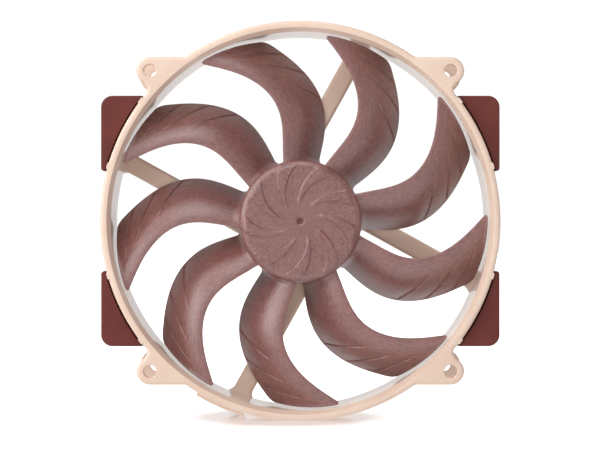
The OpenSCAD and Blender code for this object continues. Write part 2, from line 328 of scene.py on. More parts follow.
def add_rows(bm, rows, uv_layer=None, uvs=None):
    """Joins closed rows of equally many points with quads and returns the rows' vertices.

    Each row of uvs has one more place than the row has points, for where the row closes.
    """
    made = [[bm.verts.new(p) for p in row] for row in rows]
    count = len(rows[0])
    for k in range(len(rows) - 1):
        for i in range(count):
            j = (i + 1) % count
            face = bm.faces.new((made[k][i], made[k][j], made[k + 1][j], made[k + 1][i]))
            if uvs:
                places = (uvs[k][i], uvs[k][i + 1], uvs[k + 1][i + 1], uvs[k + 1][i])
                for loop, place_uv in zip(face.loops, places):
                    loop[uv_layer].uv = place_uv
    return made


def circle(r, segments=FULL_CIRCLE):
    return [polar(r, 2 * math.pi * k / segments) for k in range(segments)]


def arc(cx, cy, r, start, end, steps):
    """Points on an arc, with both ends, angles in degrees."""
    angles = [math.radians(start + (end - start) * k / steps) for k in range(steps + 1)]
    return [(cx + r * math.cos(a), cy + r * math.sin(a)) for a in angles]


def inset(outline, distance):
    """Moves a counter-clockwise outline inwards, keeping its number of points."""
    moved = []
    count = len(outline)
    for i, (x, y) in enumerate(outline):
        ax, ay = outline[i - 1]
        bx, by = outline[(i + 1) % count]
        n1 = Vector((-(y - ay), x - ax)).normalized()
        n2 = Vector((-(by - y), bx - x)).normalized()
        n = (n1 + n2).normalized()
        reach = distance / max(n.dot(n1), 0.5)
        moved.append((x + n.x * reach, y + n.y * reach))
    return moved


def fill_plane(bm, outline, circles):
    """Fills the flat region inside an outline and outside each circle, all given as loops of vertices."""
    loops = [outline] + circles
    flat = [vert for loop in loops for vert in loop]
    edges = []
    start = 0
    for loop in loops:
        count = len(loop)
        edges += [(start + i, start + (i + 1) % count) for i in range(count)]
        start += count
    rounds = []
    for loop in circles:
        centre = sum((vert.co for vert in loop), Vector()) / len(loop)
        rounds.append((centre, (loop[0].co - centre).length))
    points = [Vector((vert.co.x, vert.co.y)) for vert in flat]
    made, _, faces, source, _, _ = delaunay_2d_cdt(points, edges, [], 1, 1e-6)
    for face in faces:
        corners = [flat[source[i][0]] for i in face]
        middle = sum((vert.co for vert in corners), Vector()) / len(corners)
        if all((middle - centre).length > r for centre, r in rounds):
            bm.faces.new(corners)


def boolean(target, tool, operation):
    """Joins or cuts target with tool, bakes the result into target and removes the tool."""
    modifier = target.modifiers.new("join", "BOOLEAN")
    modifier.operation = operation
    modifier.solver = "MANIFOLD"
    modifier.object = tool
    graph = bpy.context.evaluated_depsgraph_get()
    result = bpy.data.meshes.new_from_object(target.evaluated_get(graph), depsgraph=graph)
    target.modifiers.clear()
    old = target.data
    target.data = result
    bpy.data.meshes.remove(old)
    bpy.data.objects.remove(tool)


def add_poles(bm, first, last):
    """Closes two loops of vertices with a fan each; both are (loop, w of its middle)."""
    for loop, w in (first, last):
        pole = bm.verts.new((0, 0, w))
        for i, vert in enumerate(loop):
            bm.faces.new((vert, loop[(i + 1) % len(loop)], pole))


def add_prism(bm, rows):
    """Solid through closed rows, with a flat face at each end."""
    made = add_rows(bm, rows)
    bm.faces.new(made[0])
    bm.faces.new(made[-1])


def build_bench(name, make, *details):
    """Object made by a function that adds closed surfaces to a bmesh."""
    bm = bmesh.new()
    make(bm, *details)
    return new_object(name, bm)


def flat_faces_stay_flat(piece):
    """Lets the large faces set the normals where they meet a rounded edge."""
    modifier = piece.modifiers.new("normals", "WEIGHTED_NORMAL")
    modifier.keep_sharp = True
    modifier.weight = 100


# ---------------------------------------------------------------------------------------------
# Housing
# ---------------------------------------------------------------------------------------------

def direction(a, b):
    """Angle in degrees of the way from point a to point b."""
    return math.degrees(math.atan2(b[1] - a[1], b[0] - a[0]))


def ear_fillets(ear_r, hollow):
    """Centres of an ear's two fillets on the ring: beside the hollow and by the straight edge."""
    gap = math.hypot(*hollow)
    to_axis = FLANGE_R + EAR_FILLET
    to_hollow = HOLLOW_R - EAR_FILLET
    aside = math.acos((gap ** 2 + to_axis ** 2 - to_hollow ** 2) / (2 * gap * to_axis))
    low = polar(to_axis, math.atan2(hollow[1], hollow[0]) + aside)
    edge = HOLE_X + ear_r + EAR_FILLET
    return low, (math.sqrt(to_axis ** 2 - edge ** 2), edge)


def ring_outline(ear_r):
    """Counter-clockwise outline of a flange whose four ears have round ends of radius ear_r."""
    hollow = (HOLLOW_X, HOLE_X - math.sqrt((ear_r + HOLLOW_R) ** 2 - (HOLLOW_X - HOLE_X) ** 2))
    low, high = ear_fillets(ear_r, hollow)
    hole = (HOLE_X, HOLE_X)
    low_angle = direction((0, 0), low)
    high_angle = direction((0, 0), high)
    into_hollow = direction(hollow, low)
    touch = direction(hollow, hole)
    first = arc(0, 0, FLANGE_R, 0, low_angle, 34)[:-1]
    first += arc(*low, EAR_FILLET, low_angle + 180, into_hollow, 6)[:-1]
    first += arc(*hollow, HOLLOW_R, into_hollow, touch, 8)[:-1]
    first += arc(*hole, ear_r, touch - 180, 90, 24)
    first += arc(*high, EAR_FILLET, 270, high_angle + 180, 6)[:-1]
    first += arc(0, 0, FLANGE_R, high_angle, 90, 30)
    half = first[:-1] + [(-x, y) for x, y in reversed(first)][:-1]
    return half + [(-x, -y) for x, y in half]


def flange_edge(bm, outline, outer, step):
    """Rounded edge and screw holes of one flange; returns the loops that bound its two flat faces."""
    back = outer - step * FLANGE_T
    levels = []
    for k in range(7):
        a = math.radians(90 - 15 * k)
        levels.append((EDGE_ROUND * (1 - math.cos(a)), outer - step * EDGE_ROUND * (1 - math.sin(a))))
    for k in range(4):
        a = math.radians(30 * k)
        levels.append((BACK_ROUND * (1 - math.cos(a)), back + step * BACK_ROUND * (1 - math.sin(a))))
    edge = add_rows(bm, [[(u, v, w) for u, v in inset(outline, d)] for d, w in levels])
    fronts = []
    backs = []
    for x in (HOLE_X, -HOLE_X):
        for y in (HOLE_X, -HOLE_X):
            levels = [(HOLE_R + HOLE_SOFT, outer), (HOLE_R, outer - step * HOLE_SOFT), (HOLE_R, back)]
            hole = add_rows(bm, [[(x + u, y + v, w) for u, v in circle(r, 40)] for r, w in levels])
            fronts.append(hole[0])
            backs.append(hole[-1])
    return (edge[0], fronts), (edge[-1], backs)


def add_ring(bm):
    """The whole ring as one closed surface: duct, both lips, both flanges with ears, and the barrel."""
    front, front_back = flange_edge(bm, ring_outline(FRONT_EAR_R), DEPTH, 1)
    rear, rear_back = flange_edge(bm, ring_outline(REAR_EAR_R), 0, -1)
    lip = [(LIP_R + 0.15, 0), (LIP_R, 0.1), (DUCT_R + 0.1, LIP_H - 0.2), (DUCT_R, LIP_H + 0.4)]
    profile = [(r, DEPTH - w) for r, w in lip]
    profile += [(DUCT_R, DEPTH * 0.6), (DUCT_R, DEPTH * 0.4)]
    profile += [(r, w) for r, w in reversed(lip)]
    duct = add_rows(bm, [[(u, v, w) for u, v in circle(r)] for r, w in profile])
    levels = (DEPTH - FLANGE_T, DEPTH / 2, FLANGE_T)
    barrel = add_rows(bm, [[(u, v, w) for u, v in circle(BARREL_R)] for w in levels])
    fill_plane(bm, front[0], [duct[0]] + front[1])
    fill_plane(bm, front_back[0], [barrel[0]] + front_back[1])
    fill_plane(bm, rear[0], [duct[-1]] + rear[1])
    fill_plane(bm, rear_back[0], [barrel[-1]] + rear_back[1])


def add_strut(bm, turn):
    """One strut, from inside the motor base's rim into the ring's wall, where it swells into a fillet."""
    angle = STRUT_ANGLE + turn * math.pi / 2
    c, s = math.cos(angle), math.sin(angle)
    rows = []
    for t in [0, 0.5] + [1 - ROOT_SHARE * (1 - k / 10) for k in range(11)]:
        left = (1 - t) * STRUT_REACH
        swell = max(0.0, 1 - left / ROOT_FILLET) ** 2
        half = STRUT_W / 2 + ROOT_SPREAD * swell
        top = STRUT_H + ROOT_FILLET * swell
        section = [(-half, 0.0), (half, 0.0)]
        section += arc(half - STRUT_SOFT, top - STRUT_SOFT, STRUT_SOFT, 0, 90, 6)
        section += arc(STRUT_SOFT - half, top - STRUT_SOFT, STRUT_SOFT, 90, 180, 6)
        row = []
        for y, w in section:
            aside = STRUT_OFFSET + y
            start = math.sqrt(STRUT_FROM ** 2 - aside ** 2)
            end = math.sqrt(STRUT_TO ** 2 - aside ** 2)
            x = start + (end - start) * t
            row.append((x * c - aside * s, x * s + aside * c, w))
        rows.append(row)
    add_prism(bm, rows)


def add_lathe(bm, profile):
    """Turns a profile of (radius, w) about the axis and closes both ends on the axis."""
    made = add_rows(bm, [[(u, v, w) for u, v in circle(r)] for r, w in profile])
    add_poles(bm, (made[0], profile[0][1]), (made[-1], profile[-1][1]))


def add_motor_base(bm):
    """Motor base with its label pocket behind, the board's ledge in front, and the bearing tube."""
    profile = [(4, BASE_BOTTOM), (LABEL_POCKET_R, BASE_BOTTOM), (LABEL_POCKET_R, 0.15)]
    profile += [(LABEL_POCKET_R + 0.15, 0)]
    profile += arc(BASE_R - BASE_ROUND, BASE_ROUND, BASE_ROUND, -90, 0, 4)
    profile += arc(BASE_R - RIM_ROUND, RIM_TOP - RIM_ROUND, RIM_ROUND, 0, 90, 4)
    profile += [(RIM_RI + 0.1, RIM_TOP), (RIM_RI, RIM_TOP - 0.1), (RIM_RI, LEDGE_TOP)]
    profile += [(LEDGE_RI, LEDGE_TOP), (LEDGE_RI, BASE_TOP)]
    profile += arc(TUBE_R + TUBE_FILLET, BASE_TOP + TUBE_FILLET, TUBE_FILLET, 270, 180, 4)
    profile += [(TUBE_R, TUBE_TOP), (TUBE_RI, TUBE_TOP), (TUBE_RI, BASE_TOP), (2, BASE_TOP)]
    add_lathe(bm, profile)


def add_rounded_block(bm, corners, bottom, top, soft):
    """Prism on a counter-clockwise outline, with its top and bottom edges rounded."""
    levels = []
    for k in range(4):
        a = math.radians(30 * k)
        levels.append((soft * (1 - math.sin(a)), bottom + soft * (1 - math.cos(a))))
    levels += [(d, bottom + top - w) for d, w in reversed(levels)]
    add_prism(bm, [[(u, v, w) for u, v in inset(corners, d)] for d, w in levels])


def rounded_box_outline(x0, x1, y0, y1, r):
    outline = arc(x1 - r, y1 - r, r, 0, 90, 4) + arc(x0 + r, y1 - r, r, 90, 180, 4)
    return outline + arc(x0 + r, y0 + r, r, 180, 270, 4) + arc(x1 - r, y0 + r, r, 270, 360, 4)


def add_stops(bm):
    """Small ribs on both flanges' edges that keep the side pads in place."""
    far = FLANGE_R + STOP_OUT
    outline = rounded_box_outline(STOP_FROM, far, -STOP_W / 2, STOP_W / 2, STOP_ROUND)
    low, high = STOP_OUTER_GAP, FLANGE_T - STOP_INNER_GAP
    for across in (1, -1):
        for up in (1, -1):
            for degrees in STOP_ANGLES:
                a = math.radians(degrees)
                c, s = math.cos(a), math.sin(a)
                turned = [((x * c - y * s) * across, (x * s + y * c) * up) for x, y in outline]
                if across * up < 0:
                    turned.reverse()
                add_rounded_block(bm, turned, low, high, STOP_SOFT)
                add_rounded_block(bm, turned, DEPTH - high, DEPTH - low, STOP_SOFT)


def add_exit_block(bm):
    """Block outside the ring at the foot of the strut that carries the wires."""
    steps = 14
    angles = [EXIT_FROM + (EXIT_TO - EXIT_FROM) * k / steps for k in range(steps + 1)]
    outer = [polar(EXIT_R, angle) for angle in angles]
    inner = [polar(BARREL_R - CLEAR, angle) for angle in reversed(angles)]
    add_rounded_block(bm, outer + inner, 0, EXIT_H, EXIT_SOFT)


def add_exit_bore(bm):
    """Cylinder along the cable exit's axis."""
    c, s = math.cos(EXIT_ANGLE), math.sin(EXIT_ANGLE)
    rows = []
    for reach in (DUCT_R - CLEAR, EXIT_R + CLEAR):
        ring = circle(GROMMET_R, 48)
        rows.append([(reach * c - y * s, reach * s + y * c, EXIT_W + z) for y, z in ring])
    add_prism(bm, rows)


def add_channel(bm):
    """Groove in the rear of one strut that leads the wires from the board to the exit."""
    angle = STRUT_ANGLE + CABLE_STRUT * math.pi / 2
    c, s = math.cos(angle), math.sin(angle)
    near, far = STRUT_OFFSET - CHANNEL_W / 2, STRUT_OFFSET + CHANNEL_W / 2
    section = [(near, -CLEAR), (far, -CLEAR), (far, CHANNEL_H), (near, CHANNEL_H)]
    rows = []
    for r in (RIM_RI, STRUT_TO):
        x = math.sqrt(r ** 2 - STRUT_OFFSET ** 2)
        rows.append([(x * c - y * s, x * s + y * c, w) for y, w in section])
    add_prism(bm, rows)


def make_housing():
    housing = build_bench("housing_shell", add_ring)
    parts = [build_bench("strut", add_strut, k) for k in range(4)]
    parts += [build_bench("base", add_motor_base), build_bench("exit", add_exit_block)]
    parts += [build_bench("stops", add_stops)]
    for part in parts:
        boolean(housing, part, "UNION")
    boolean(housing, build_bench("bore", add_exit_bore), "DIFFERENCE")
    boolean(housing, build_bench("channel", add_channel), "DIFFERENCE")
    return housing


# ---------------------------------------------------------------------------------------------
# Side pads
# ---------------------------------------------------------------------------------------------

def pad_outline():
    """Counter-clockwise outline of the pad in the right upper quarter."""
    far = FLANGE_R - PAD_CORNER
    low = FLANGE_R - PAD_TIP
    bottom = math.degrees(math.asin(PAD_BOTTOM / PAD_INNER_R))
    inner_y = PAD_TOP - PAD_INNER_CORNER
    inner_x = math.sqrt((PAD_INNER_R + PAD_INNER_CORNER) ** 2 - inner_y ** 2)
    top = direction((0, 0), (inner_x, inner_y))
    outline = arc(low, PAD_BOTTOM + PAD_TIP, PAD_TIP, 270, 360, 5)
    outline += [(FLANGE_R, PAD_BOTTOM + (PAD_TOP - PAD_BOTTOM) * k / 6) for k in range(1, 5)]
    outline += arc(far, PAD_TOP - PAD_CORNER, PAD_CORNER, 0, 90, 12)
    outline += arc(inner_x, inner_y, PAD_INNER_CORNER, 90, 180 + top, 6)[:-1]
    outline += arc(0, 0, PAD_INNER_R, top, bottom, 36)
    return outline


def make_pad(name, across, up):
    """Pad mirrored across and up, with a narrow groove between its front and the flange's edge."""
    outline = [(x * across, y * up) for x, y in pad_outline()]
    if across * up < 0:
        outline.reverse()
    low, high = node_box(name)
    pad = build_bench("silicone_" + name, add_rounded_block, outline, low[2], high[2], PAD_SOFT)
    groove = [(GROOVE_R, high[2] - GROOVE_H), (GROOVE_R, high[2] + CLEAR)]
    boolean(pad, build_bench("groove", add_lathe, groove), "DIFFERENCE")
    return pad


# ---------------------------------------------------------------------------------------------
# Impeller
# ---------------------------------------------------------------------------------------------

def along(values, r):
    """Smooth curve through values given at the five stations, by Lagrange's formula."""
    total = 0.0
    for i, value in enumerate(values):
        share = 1.0
        for j, station in enumerate(STATION_R):
            if j != i:
                share *= (r - station) / (STATION_R[i] - station)
        total += value * share
    return total


def corner_cut(r, corner):
    """How far, in mm, a rounded tip corner stands back from the blade's edge at radius r.

    corner is the cut's greatest length across the blade, and its depth along the blade.
    """
    across, deep = corner
    into = max(0.0, 1 - (TIP_R - r) / deep)
    return across * (1 - math.sqrt(max(0.0, 1 - into ** 2)))


def step_dip(r_back, s):
    """Depth, in mm, of the three shallow steps on the intake side; each drops towards the hub."""
    dip = 0.0
    for step_r in STEP_R:
        short = step_r - r_back
        if 0 < short < STEP_RAMP:
            dip = STEP_H * min(short / STEP_WALL, 1) * (1 - short / STEP_RAMP) ** 2
    return dip * smooth(*STEP_RISES, s) * (1 - smooth(*STEP_ENDS, s))


def blade_point(r_back, s, side):
    """Point on a blade, and its place in the map along the fibres.

    r_back is the row's radius at the rear edge, s runs from 0 at the leading edge to 1 at the rear edge,
    and side is 1 on the intake side and -1 on the other.
    """
    out = (r_back - ROOT_R) / (TIP_R - ROOT_R)
    r = r_back + ROW_SWEEP * out * (1 - out) * (1 - s)
    lead = along(LEAD_ANGLE, r)
    trail = along(TRAIL_ANGLE, r)
    turn = math.radians(trail - lead)
    chord = r * abs(turn)
    foot = min(max(0.0, 1 - (r - HUB_R) / FOOT_REACH), 1.0) ** 2
    front = (corner_cut(r, LEAD_CORNER) - FOOT_SPREAD * foot) / chord
    back = 1 - (corner_cut(r, TRAIL_CORNER) - FOOT_SPREAD * foot) / chord
    f = front + (back - front) * s
    rise = along(TRAIL_W, r) - along(LEAD_W, r) + 4 * CAMBER * (1 - 2 * f)
    half = BLADE_BULGE * math.sqrt(s) * (1 - s) + REAR_HALF * s
    half += FOOT_THICK * foot * math.sqrt(s)
    if s > TRAIL_SOFT:
        half *= math.sqrt(max(0.0, 1 - ((s - TRAIL_SOFT) / (1 - TRAIL_SOFT)) ** 2))
    if r > TIP_R - TIP_SOFT:
        half *= math.sqrt(1 - TIP_THINNING * ((r - TIP_R + TIP_SOFT) / TIP_SOFT) ** 2)
    if side > 0:
        half -= step_dip(r_back, s)
    run = r * turn
    h = side * half / math.hypot(run, rise)
    angle = math.radians(lead * (1 - f) + trail * f) + h * rise / r
    w = along(LEAD_W, r) * (1 - f) + along(TRAIL_W, r) * f + 4 * CAMBER * f * (1 - f) - h * run
    w += TIP_LIP * max(0.0, 1 - (TIP_R - r) / TIP_LIP_REACH) ** 2
    u, v = polar(r, angle)
    return (u, v, w), (f * CHORD_UV, r / SPAN_UV)


def blade_rows():
    """Radii of a blade's rows at its rear edge, close together at the steps, the foot and the tip."""
    rows = [ROOT_R + FOOT_PITCH * k for k in range(9)] + [SPAN_FROM + SPAN_PITCH * k for k in range(12)]
    for step_r in STEP_R:
        rows += [step_r - behind for behind in STEP_BEHIND]
        rows += [step_r + past for past in STEP_PAST]
    rows += BETWEEN_STEPS
    rows += [TIP_R - TIP_SOFT * share for share in TIP_SHARES]
    return sorted(rows)


def blade_columns():
    """Shares of the way from the leading edge to the rear edge, close together at both edges."""
    inner = [0.5 - 0.5 * math.cos(math.pi * k / 24) for k in range(1, 22)]
    return [0, NOSE_COLUMN, *inner, TRAIL_SOFT, *REAR_COLUMNS]


def add_blade(bm, uv_layer, turn):
    """One blade, turned about the axis: rows round its section, with flat faces at root and tip."""
    columns = blade_columns()
    path = [(s, 1) for s in columns] + [(s, -1) for s in reversed(columns[1:-1])]
    c, s = math.cos(turn), math.sin(turn)
    rows = []
    uvs = []
    for r_back in blade_rows():
        made = [blade_point(r_back, f, side) for f, side in path]
        rows.append([(u * c - v * s, u * s + v * c, w) for (u, v, w), _ in made])
        places = [(a + turn * BLADE_UV_SHIFT, b) for _, (a, b) in made]
        uvs.append(places + places[:1])
    verts = add_rows(bm, rows, uv_layer=uv_layer, uvs=uvs)
    last = len(columns) - 1
    count = len(path)
    for loop in (verts[0], verts[-1]):
        bm.faces.new((loop[0], loop[1], loop[-1]))
        for i in range(1, last - 1):
            bm.faces.new((loop[i], loop[i + 1], loop[count - i - 1], loop[count - i]))
        bm.faces.new((loop[last - 1], loop[last], loop[last + 1]))


def wedge_columns(reach):
    """Angles of one wedge's share of a hub row, and 1 where the spiral wedge is raised or 0 beside it."""
    out = max(reach - WEDGE_START, 0.0)
    middle = WEDGE_ANGLE - WEDGE_TWIST * out
    width = WEDGE_WIDTH + WEDGE_SPREAD * out
    soft = math.degrees(WEDGE_SOFT / max(reach, WEDGE_START))
    raised = [middle - width / 2 + soft / 2 + (width - soft) * k / 6 for k in range(7)]
    rest = 360 / BLADE_COUNT - width
    low = [middle + width / 2 + soft / 2 + (rest - soft) * k / 9 for k in range(10)]
    return [(a, 1.0) for a in raised] + [(a, 0.0) for a in low]


def hub_profile():
    """Outside of the hub from its centre to its rim: radius, height and the lean of its normal."""
    profile = []
    for k in range(1, 9):
        bowl = (1 + math.cos(math.pi * k / 8)) / 2
        profile.append((DIMPLE_R * k / 8, HUB_TOP - DIMPLE_H * bowl, 0))
    flat = HUB_R - HUB_ROUND
    even = [HUB_EVEN_FROM + (flat - HUB_EVEN_FROM) * k / 10 for k in range(11)]
    profile += [(r, HUB_TOP, 0) for r in (*HUB_FACE_ROWS, *even)]
    for k in range(1, 11):
        a = math.radians(9 * k)
        profile.append((flat + HUB_ROUND * math.sin(a), HUB_TOP - HUB_ROUND * (1 - math.cos(a)), a))
    profile += [(HUB_R, w, math.pi / 2) for w in HUB_SIDE_ROWS]
    profile.append((HUB_R, HUB_BOTTOM + HUB_EDGE, math.pi / 2))
    profile.append((HUB_R - HUB_EDGE_MIDDLE, HUB_BOTTOM + HUB_EDGE_MIDDLE, math.pi * 0.75))
    return profile


def add_hub(bm, uv_layer):
    """Hub as one closed surface: dimple, face with its wedges, side, and the space for the rotor cup."""
    rows = []
    uvs = []
    reach = 0.0
    before = (0.0, HUB_TOP)
    flat = HUB_R - HUB_ROUND
    for r, w, lean in hub_profile():
        reach += math.dist(before, (r, w))
        before = (r, w)
        lift = WEDGE_H * smooth(WEDGE_START, WEDGE_START + WEDGE_RISE, reach)
        lift *= 1 - smooth(flat + WEDGE_FADE[0], flat + WEDGE_FADE[1], reach)
        row = []
        places = []
        for turn in range(BLADE_COUNT):
            for angle, up in wedge_columns(min(reach, flat + WEDGE_HOLD)):
                degrees = angle + 360 / BLADE_COUNT * turn
                u, v = polar(r + up * lift * math.sin(lean), math.radians(degrees))
                row.append((u, v, w + up * lift * math.cos(lean)))
                places.append((degrees * HUB_UV, reach / SPAN_UV))
        first = places[0]
        rows.append(row)
        uvs.append(places + [(first[0] + 360 * HUB_UV, first[1])])
    segments = len(rows[0])
    inner = [(HUB_R - HUB_EDGE, HUB_BOTTOM), (CUP_R + HUB_EDGE, HUB_BOTTOM)]
    inner += [(CUP_R, HUB_BOTTOM + HUB_EDGE)]
    inner += [(CUP_R, CUP_TOP), (BOSS_R, CUP_TOP), (BOSS_R, BOSS_BOTTOM), (BUSHING_R, BOSS_BOTTOM)]
    inner += [(BUSHING_R, BUSHING_TOP), (1, BUSHING_TOP)]
    for r, w in inner:
        reach += 1.0
        angles = [2 * math.pi * k / segments + SEAM_ANGLE for k in range(segments)]
        rows.append([(*polar(r, angle), w) for angle in angles])
        uvs.append([(360 * HUB_UV * k / segments, reach / SPAN_UV) for k in range(segments + 1)])
    verts = add_rows(bm, rows, uv_layer=uv_layer, uvs=uvs)
    add_poles(bm, (verts[0], HUB_TOP - DIMPLE_H), (verts[-1], BUSHING_TOP))


def build_fibred(name, make, *details):
    """Object like build_bench's, with a map along the moulded fibres."""
    return build_bench(name, lambda bm: make(bm, bm.loops.layers.uv.new("fibres"), *details))


def make_impeller():
    impeller = build_fibred("moulded_impeller", add_hub)
    for k in range(1, BLADE_COUNT + 1):
        blade = build_fibred("blade", add_blade, 2 * math.pi * k / BLADE_COUNT)
        boolean(impeller, blade, "UNION")
    impeller.data.set_sharp_from_angle(angle=SHARP_ANGLE)
    return impeller


# ---------------------------------------------------------------------------------------------
# Materials
# ---------------------------------------------------------------------------------------------

def colour(r, g, b):
    """Linear colour from the usual 0 to 255 values."""
    parts = [c / 255 for c in (r, g, b)]
    return tuple(c / 12.92 if c <= 0.04045 else ((c + 0.055) / 1.055) ** 2.4 for c in parts) + (1.0,)


def add_node(tree, kind, inputs=None, **settings):
    """Shader node with the given inputs, each a value or another node's output, and settings."""
    made = tree.nodes.new("ShaderNode" + kind)
    for key, value in settings.items():
        setattr(made, key, value)
    for key, value in (inputs or {}).items():
        if isinstance(value, bpy.types.NodeSocket):
            tree.links.new(value, made.inputs[key])
        else:
            made.inputs[key].default_value = value
    return made


class Surface:
    """A procedural material: a Principled shader and the nodes that drive it."""

    def __init__(self, name, metallic=0.0, ior=1.5, **sockets):
        self.material = bpy.data.materials.new(name)
        self.material.use_nodes = True
        self.tree = self.material.node_tree
        self.shader = self.tree.nodes["Principled BSDF"]
        self.shader.inputs["Metallic"].default_value = metallic
        self.shader.inputs["IOR"].default_value = ior
        for socket, value in sockets.items():
            self.shader.inputs[socket.replace("_", " ")].default_value = value

    def node(self, kind, inputs=None, **settings):
        return add_node(self.tree, kind, inputs, **settings)

    def place(self, stretch=(1, 1, 1)):
        """Coordinates in millimetres in the piece's own frame, stretched along each axis."""
        at = self.node("TexCoord").outputs["Object"]
        scale = tuple(s / MM for s in stretch)
        return self.node("Mapping", {"Vector": at, "Scale": scale}).outputs["Vector"]

    def fibres(self, stretch):
        """Coordinates along the moulded fibres."""
        at = self.node("UVMap", uv_map="fibres").outputs["UV"]
        return self.node("Mapping", {"Vector": at, "Scale": stretch}).outputs["Vector"]

    def turned(self):
        """Distance from the fan's axis in millimetres."""
        flat = self.place((1, 0, 1))
        return self.node("VectorMath", {0: flat}, operation="LENGTH").outputs["Value"]

    def noise(self, at, scale=1.0, detail=3.0, rough=0.5, warp=0.0):
        inputs = {"Vector": at, "Scale": scale, "Detail": detail, "Roughness": rough, "Distortion": warp}
        return self.node("TexNoise", inputs).outputs["Fac"]

    def math(self, operation, a, b=0.0):
        return self.node("Math", {0: a, 1: b}, operation=operation).outputs[0]

    def span(self, value, low, high, to_low=0.0, to_high=1.0):
        inputs = {"Value": value, "From Min": low, "From Max": high, "To Min": to_low, "To Max": to_high}
        return self.node("MapRange", inputs).outputs["Result"]

    def blend(self, amount, a, b):
        return self.node("Mix", {0: amount, 6: a, 7: b}, data_type="RGBA").outputs[2]

    def paint(self, value):
        self.tree.links.new(value, self.shader.inputs["Base Color"])

    def rough(self, value, low, high):
        """Roughness from low to high as value goes from 0.3 to 0.7, where most of a noise lies."""
        self.tree.links.new(self.span(value, 0.3, 0.7, low, high), self.shader.inputs["Roughness"])

    def relief(self, *layers):
        """Bumps from (height, depth in millimetres) layers."""
        normal = None
        for height, depth in layers:
            bump = self.node("Bump", {"Height": height, "Strength": 1.0, "Distance": depth * MM})
            if normal:
                self.tree.links.new(normal, bump.inputs["Normal"])
            normal = bump.outputs["Normal"]
        self.tree.links.new(normal, self.shader.inputs["Normal"])


def frame_plastic(name, light, dark, gloss, satin):
    """Moulded beige plastic with faint clouds, fine speckle and a soft orange-peel surface."""
    look = Surface(name, ior=1.47)
    clouds = look.noise(look.place(), 0.06, 4, 0.6)
    speckle = look.noise(look.place(), 2.2, 2, 0.6)
    base = look.blend(look.span(clouds, 0.35, 0.65), dark, light)
    look.paint(look.blend(look.span(speckle, 0.55, 0.8, 0, 0.25), base, dark))
    look.rough(look.noise(look.place(), 0.5, 3), gloss, satin)
    look.relief((look.noise(look.place(), 1.2, 2), 0.012), (speckle, 0.006))
    return look.material


def impeller_plastic():
    """Fibre-filled brown plastic: short streaks along the blades and hub over a mottled grain."""
    look = Surface("impeller_fibre_plastic", ior=1.6, Specular_IOR_Level=0.9)
    wander = look.noise(look.place(), 0.12, 3, 0.55)
    wide = look.noise(look.fibres((10, 1.2, 1)), 1, 3, 0.6, 0.5)
    fine = look.noise(look.fibres((32, 6, 1)), 1, 3, 0.6, 0.6)
    mottle = look.noise(look.place(), 1.0, 3, 0.65, 1.2)
    base = look.blend(look.span(wander, 0.35, 0.65), colour(106, 58, 54), colour(121, 68, 63))
    base = look.blend(look.span(wide, 0.42, 0.7, 0, 0.35), base, colour(152, 97, 91))
    base = look.blend(look.span(mottle, 0.35, 0.65, 0.45, 0), base, colour(68, 34, 32))
    look.paint(look.blend(look.span(fine, 0.38, 0.65, 0, 0.5), base, colour(168, 114, 107)))
    look.rough(fine, 0.3, 0.42)
    look.relief((wide, 0.04), (fine, 0.045), (mottle, 0.05))
    return look.material


def silicone():
    """Dark red silicone of the side pads, matt, with a fine grain."""
    look = Surface("pad_silicone", ior=1.36)
    clouds = look.noise(look.place(), 0.08, 3)
    grain = look.noise(look.place(), 4.0, 3, 0.7)
    base = look.blend(look.span(clouds, 0.35, 0.65), colour(96, 40, 35), colour(108, 48, 42))
    look.paint(look.blend(look.span(grain, 0.55, 0.75, 0, 0.25), base, colour(122, 70, 63)))
    look.rough(look.noise(look.place(), 0.7, 3), 0.5, 0.62)
    look.relief((look.noise(look.place(), 0.8, 2), 0.02), (grain, 0.012))
    return look.material


def moulded(name, light, dark, gloss, satin, grain_size=0.4):
    """Small moulded or pressed part with a fine grain."""
    look = Surface(name)
    clouds = look.noise(look.place(), 0.3, 3)
    grain = look.noise(look.place(), 1 / grain_size, 3, 0.7)
    base = look.blend(look.span(clouds, 0.35, 0.65), dark, light)
    look.paint(look.blend(look.span(grain, 0.55, 0.8, 0, 0.3), base, dark))
    look.rough(grain, gloss, satin)
    look.relief((grain, 0.01))
    return look.material


def turned_metal(name, light, dark, gloss, satin, pitch=0.12):
    """Metal with fine tool marks round the fan's axis and a little tarnish."""
    look = Surface(name, metallic=1.0)
    marks = look.noise(look.node("CombineXYZ", {"X": look.turned()}).outputs[0], 1 / pitch, 2, 0.6)
    along_axis = look.noise(look.place((0, 1, 0)), 1 / pitch, 2, 0.6)
    both = look.math("MULTIPLY", look.math("ADD", marks, along_axis), 0.5)
    tarnish = look.noise(look.place(), 0.35, 4, 0.6)
    look.paint(look.blend(look.span(tarnish, 0.4, 0.65), light, dark))
    look.rough(look.blend(0.5, both, tarnish), gloss, satin)
    look.relief((both, 0.004))
    return look.material


# Plain printed rings on the label: radius and half width, in millimetres
LABEL_RINGS = ((17.2, 0.45), (12.4, 0.15), (5.4, 0.25))


def label_foil():
    """Brushed foil with a plain printed border and two plain rings."""
    look = Surface("label_foil", metallic=0.9)
    brushed = look.noise(look.place((0.08, 1, 6)), 1, 3, 0.7)
    radius = look.turned()
    base = look.blend(look.span(brushed, 0.35, 0.65), colour(176, 178, 182), colour(206, 208, 212))
    for middle, half in LABEL_RINGS:
        off = look.math("ABSOLUTE", look.math("SUBTRACT", radius, middle))
        band = look.span(off, half, half + 0.06, 1, 0)
        base = look.blend(band, base, colour(110, 62, 56))
    look.paint(base)
    look.rough(brushed, 0.28, 0.42)
    look.relief((brushed, 0.004))
    return look.material


